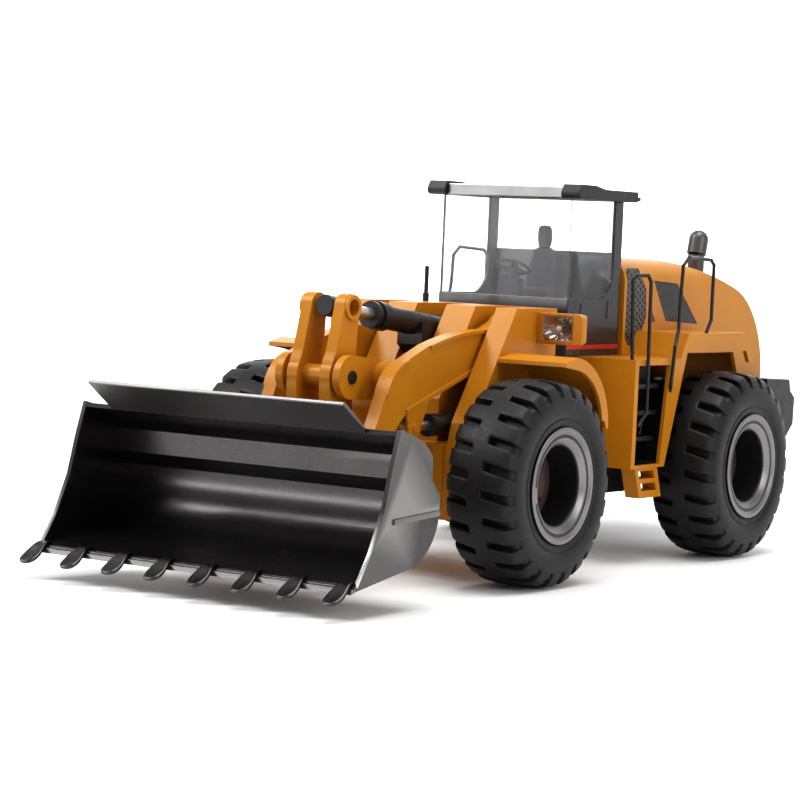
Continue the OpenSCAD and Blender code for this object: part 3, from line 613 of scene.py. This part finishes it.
LAMP_LOW, LAMP_HIGH = in_mm(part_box("headlight_lenses"))
HOUSING_LOW, HOUSING_HIGH = in_mm(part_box("headlight_housings"))
LAMP_Z0, LAMP_Z1 = LAMP_LOW[2], LAMP_HIGH[2]
LAMP_X1 = LAMP_HIGH[0]
LAMP_X0 = LAMP_X1 - (LAMP_Z1 - LAMP_Z0) * 1.37
LAMP_FRONT = LAMP_LOW[1]

BOWL_CELLS = 14             # squares along each side of the reflector
BOWL_DEPTH = 4.6
BOWL_RIM = 1.2              # how far the rim sits behind the lens
BOWL_FLAT = 0.93            # beyond this the reflector is a flat border
RIB_COUNT, RIB_HEIGHT = 16, 0.25
BULB_R = 0.0017             # metres
BULB_STRETCH = 1.3


def reflector(name, side):
    """Square bowl with radial ribs and a flat border."""
    verts = []
    for j in range(BOWL_CELLS + 1):
        for i in range(BOWL_CELLS + 1):
            u, v = i / BOWL_CELLS * 2 - 1, j / BOWL_CELLS * 2 - 1
            r = min(1.0, math.hypot(u, v))
            ribs = RIB_HEIGHT * math.cos(RIB_COUNT * math.atan2(v, u)) * r
            inside = max(abs(u), abs(v)) < BOWL_FLAT
            depth = BOWL_RIM + (BOWL_DEPTH * (1 - r ** 2) + ribs if inside else 0.0)
            x = LAMP_X0 + (LAMP_X1 - LAMP_X0) * (u + 1) / 2
            z = LAMP_Z0 + (LAMP_Z1 - LAMP_Z0) * (v + 1) / 2
            verts.append(at(side * x, LAMP_FRONT + depth, z))
    faces = []
    for j in range(BOWL_CELLS):
        for i in range(BOWL_CELLS):
            a = j * (BOWL_CELLS + 1) + i
            face = (a, a + 1, a + BOWL_CELLS + 2, a + BOWL_CELLS + 1)
            faces.append(face if side > 0 else face[::-1])
    return add_mesh(name, verts, faces, smooth=False)


def bulb(name, side):
    place = Vector(at(side * (LAMP_X0 + LAMP_X1) / 2, LAMP_FRONT + 3.2, (LAMP_Z0 + LAMP_Z1) / 2))
    bm = bmesh.new()
    bmesh.ops.create_icosphere(bm, subdivisions=2, radius=BULB_R)
    for v in bm.verts:
        v.co.y *= BULB_STRETCH
        v.co += place
    mesh = bpy.data.meshes.new(name)
    bm.to_mesh(mesh)
    bm.free()
    obj = bpy.data.objects.new(name, mesh)
    bpy.context.scene.collection.objects.link(obj)
    mesh.polygons.foreach_set("use_smooth", [True] * len(mesh.polygons))
    return obj


def lamp(name, side):
    """Reflector and bulb behind a clear lens."""
    lens_outline = [
        (LAMP_FRONT, LAMP_Z0), (LAMP_FRONT, LAMP_Z1), (LAMP_FRONT + 0.8, LAMP_Z1), (LAMP_FRONT + 0.8, LAMP_Z0),
    ]
    bowl = reflector(name + "_reflector", side)
    finish_piece(bowl, REFLECTOR, "front_frame", "lens_plastic", "headlight_lenses")
    lens = prism(name + "_lens", lens_outline, side * LAMP_X0, side * LAMP_X1, 0.25)
    finish_piece(lens, LAMP_COVER, "front_frame", "lens_plastic", "headlight_lenses")
    finish_piece(bulb(name + "_bulb", side), LENS, "front_frame", "lens_plastic", "headlight_lenses")


def rounded_rectangle(x0, x1, z0, z1, r, per_corner=6):
    corners = ((x1 - r, z1 - r, 0), (x0 + r, z1 - r, 90), (x0 + r, z0 + r, 180), (x1 - r, z0 + r, 270))
    pts = []
    for cx, cz, start in corners:
        for k in range(per_corner):
            a = math.radians(start + 90 * k / (per_corner - 1))
            pts.append((cx + r * math.cos(a), cz + r * math.sin(a)))
    return pts


def ring_prism(name, outer, inner, y0, y1, side, rounding):
    """Frame between two outlines in x-z, extruded along y, with rounded edges, all in mm."""
    n = len(outer)
    verts = [at(side * x, y, z) for y in (y0, y1) for loop in (outer, inner) for x, z in loop]
    faces = []
    for i in range(n):
        j = (i + 1) % n
        faces += [(i, j, n + j, n + i), (2 * n + i, 2 * n + j, 3 * n + j, 3 * n + i)]
        faces += [(i, j, 2 * n + j, 2 * n + i), (n + i, n + j, 3 * n + j, 3 * n + i)]
    obj = add_mesh(name, verts, faces)
    turn_faces_outward(obj)
    round_edges(obj, rounding / 1000, 3, 50)
    return obj


def lamp_frame(name, side):
    """Yellow bracket: a rounded front frame on a deeper box round the lamp."""
    y0, y1 = HOUSING_LOW[1], HOUSING_HIGH[1]
    z0, z1 = HOUSING_LOW[2], HOUSING_HIGH[2]
    inner_x = LAMP_X0 - 7.5
    hole = rounded_rectangle(LAMP_X0 - 0.4, LAMP_X1 + 0.4, LAMP_Z0 - 0.3, LAMP_Z1 + 0.3, 1.2)
    face_outline = rounded_rectangle(inner_x, HOUSING_HIGH[0], z0, z1, 3.4)
    box_outline = rounded_rectangle(inner_x, LAMP_X1 + 2.2, z0 + 0.8, z1 - 0.8, 1.6)
    front = ring_prism(name + "_frame", face_outline, hole, y0, y0 + 5.0, side, 0.8)
    box = ring_prism(name + "_box", box_outline, hole, y0 + 4.5, y1, side, 0.5)
    for piece in (front, box):
        finish_piece(piece, YELLOW, "front_frame", "yellow_plastic", "headlight_housings")


for part in (lamp, lamp_frame):
    for side, word in SIDES:
        part(word + "_lamp", side)

# ---------------------------------------------------------------- seat

SEAT_RING = 28
SEAT_SQUARENESS = 0.45
SEAT_LOW, SEAT_HIGH = in_mm(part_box("seat"))
SEAT_X = (SEAT_LOW[0] + SEAT_HIGH[0]) / 2
SEAT_HALF = (SEAT_HIGH[0] - SEAT_LOW[0]) / 2
SEAT_DEPTH = SEAT_HIGH[1] - SEAT_LOW[1]
SEAT_HEIGHT = SEAT_HIGH[2] - SEAT_LOW[2]
CUSHION_Y = (SEAT_LOW[1] + SEAT_HIGH[1]) / 2
BACK_Y = SEAT_HIGH[1] - 4.5


def seat_ring(y, height, width, half_depth):
    """Level ring; height and width are shares of the seat's own, and the rest is in mm."""
    ring = []
    for k in range(SEAT_RING):
        c, s = squarish(2 * math.pi * k / SEAT_RING, SEAT_SQUARENESS)
        ring.append((SEAT_X + SEAT_HALF * width * c, y + half_depth * s, SEAT_LOW[2] + height * SEAT_HEIGHT))
    return ring


# Each as (y, height, width, half depth)
CUSHION = (
    (CUSHION_Y, 0.0, 0.62, SEAT_DEPTH * 0.30), (CUSHION_Y, 0.16, 0.70, SEAT_DEPTH * 0.36),
    (CUSHION_Y - 1, 0.19, 0.94, SEAT_DEPTH * 0.45), (CUSHION_Y - 1, 0.30, 0.97, SEAT_DEPTH * 0.46),
    (CUSHION_Y - 1, 0.335, 0.84, SEAT_DEPTH * 0.41),
)
BACKREST = (
    (BACK_Y - 3.5, 0.24, 0.86, 3.4), (BACK_Y - 3.2, 0.30, 0.93, 4.0), (BACK_Y - 2.2, 0.48, 0.86, 4.1),
    (BACK_Y - 1.2, 0.66, 0.66, 3.7), (BACK_Y - 0.7, 0.74, 0.52, 3.3), (BACK_Y - 0.5, 0.765, 0.40, 2.6),
)
HEADREST = (
    (BACK_Y - 0.6, 0.75, 0.24, 1.8), (BACK_Y - 0.6, 0.78, 0.36, 3.0), (BACK_Y - 0.6, 0.88, 0.40, 3.4),
    (BACK_Y - 0.8, 0.97, 0.35, 3.0), (BACK_Y - 0.8, 0.995, 0.24, 2.0),
)
for name, rings in (("seat_cushion", CUSHION), ("seat_backrest", BACKREST), ("seat_headrest", HEADREST)):
    piece = loft(name, [seat_ring(*ring) for ring in rings], SEAT_RING, 1)
    finish_piece(piece, SEAT, "rear_frame", "seat_plastic", "seat")

# ---------------------------------------------------------------- trim on the cab

CAB_X = in_mm(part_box("cab_body"))[1][0]
STRIPE_Y, STRIPE_Z = (104.5, 165.5), (127.6, 130.2)
STRIPE_OUTLINE = [
    (STRIPE_Y[0], STRIPE_Z[0]), (STRIPE_Y[0], STRIPE_Z[1]), (STRIPE_Y[1], STRIPE_Z[1]), (STRIPE_Y[1], STRIPE_Z[0]),
]
SLITS = ((118, 144.5), (150, 146))
SLIT_HEIGHT, SLIT_WIDTH, SLIT_LEAN = 10.5, 1.1, 0.9

for side, word in SIDES:
    x = side * CAB_X
    stripe = prism("stripe_" + word, STRIPE_OUTLINE, x, x + side * 0.18, 0.05)
    finish_piece(stripe, RED, "rear_frame", "red_plastic")
    for k, (y, z) in enumerate(SLITS):
        top = z + SLIT_HEIGHT
        outline = [(y, z), (y + SLIT_WIDTH, z), (y + SLIT_LEAN + SLIT_WIDTH, top), (y + SLIT_LEAN, top)]
        slit = prism("slit_%s_%d" % (word, k), outline, x, x + side * 0.3, 0.1)
        finish_piece(slit, BLACK, "rear_frame", "black_plastic")

# ---------------------------------------------------------------- stage, light and camera

FLOOR_START, BACKDROP_START, BACKDROP_TOP, STAGE_HALF = -9.0, 2.6, 4.0, 10
SWEEP_R = 0.9

profile = [(FLOOR_START, 0.0)]
for degrees in range(0, 91, 6):
    t = math.radians(degrees)
    profile.append((BACKDROP_START + SWEEP_R * math.sin(t), SWEEP_R - SWEEP_R * math.cos(t)))
profile.append((BACKDROP_START + SWEEP_R, BACKDROP_TOP))
stage_verts = [(x, y, z) for y, z in profile for x in (-STAGE_HALF, STAGE_HALF)]
stage_faces = [(2 * i, 2 * i + 1, 2 * i + 3, 2 * i + 2) for i in range(len(profile) - 1)]
floor = add_mesh("floor", stage_verts, stage_faces)
floor_material, floor_tree, floor_bsdf = new_material("pale_floor")
pattern = noise(floor_tree, coords(floor_tree), 3.0, 2.0)
link(floor_tree, drift(floor_tree, pattern, (0.86, 0.86, 0.86), (0.88, 0.88, 0.88)), floor_bsdf.inputs["Base Color"])
floor_bsdf.inputs["Roughness"].default_value = 0.7
floor.data.materials.append(floor_material)

world = bpy.data.worlds.new("studio")
bpy.context.scene.world = world
world.use_nodes = True
sky = world.node_tree.nodes["Background"]
sky.inputs["Color"].default_value = (1.0, 1.0, 1.0, 1)
sky.inputs["Strength"].default_value = 0.45


def area(name, place, target, size, power):
    """Soft rectangular light, in metres and watts."""
    data = bpy.data.lights.new(name, "AREA")
    data.shape = "RECTANGLE"
    data.size, data.size_y = size
    data.energy = power
    obj = bpy.data.objects.new(name, data)
    bpy.context.scene.collection.objects.link(obj)
    obj.location = place
    obj.rotation_euler = (Vector(target) - Vector(place)).to_track_quat("-Z", "Y").to_euler()


area("key", (-1.1, -0.85, 1.35), (0, -0.15, 0.05), (1.0, 0.6), 18)
area("front", (-1.35, -2.0, 0.17), (0, -0.25, 0.07), (1.5, 0.3), 9)
area("top", (0.2, -0.05, 1.5), (0, -0.05, 0.0), (1.2, 0.9), 18)
area("side", (1.8, -0.1, 0.8), (0, 0.0, 0.1), (1.0, 0.8), 8)
area("backdrop_light", (-2.0, 1.5, 2.4), (-2.4, 3.5, 1.0), (4.0, 1.2), 190)

CAMERA_LENS = 117.5895                  # mm, on a 36 mm sensor
CAMERA_YAW, CAMERA_PITCH, CAMERA_ROLL = (math.radians(angle) for angle in (34.12, 3.58, 2.51))
CAMERA_PLACE = Vector((0.83525, FRONT_Y - 1.23361, 0.1903))

cam_data = bpy.data.cameras.new("camera")
cam = bpy.data.objects.new("camera", cam_data)
bpy.context.scene.collection.objects.link(cam)
cam_data.sensor_width = 36.0
cam_data.lens = CAMERA_LENS
cam_data.clip_start = 0.05
forward = Vector((math.sin(-CAMERA_YAW) * math.cos(CAMERA_PITCH), math.cos(CAMERA_YAW) * math.cos(CAMERA_PITCH),
                  -math.sin(CAMERA_PITCH)))
level_right = forward.cross(Vector((0, 0, 1))).normalized()
level_up = level_right.cross(forward)
right = level_right * math.cos(CAMERA_ROLL) + level_up * math.sin(CAMERA_ROLL)
up = -level_right * math.sin(CAMERA_ROLL) + level_up * math.cos(CAMERA_ROLL)
cam.matrix_world = Matrix(((right.x, up.x, -forward.x, CAMERA_PLACE.x), (right.y, up.y, -forward.y, CAMERA_PLACE.y),
                           (right.z, up.z, -forward.z, CAMERA_PLACE.z), (0, 0, 0, 1)))
bpy.context.scene.camera = cam
bpy.context.scene.view_settings.view_transform = "Standard"
bpy.context.scene.view_settings.look = "Medium High Contrast"
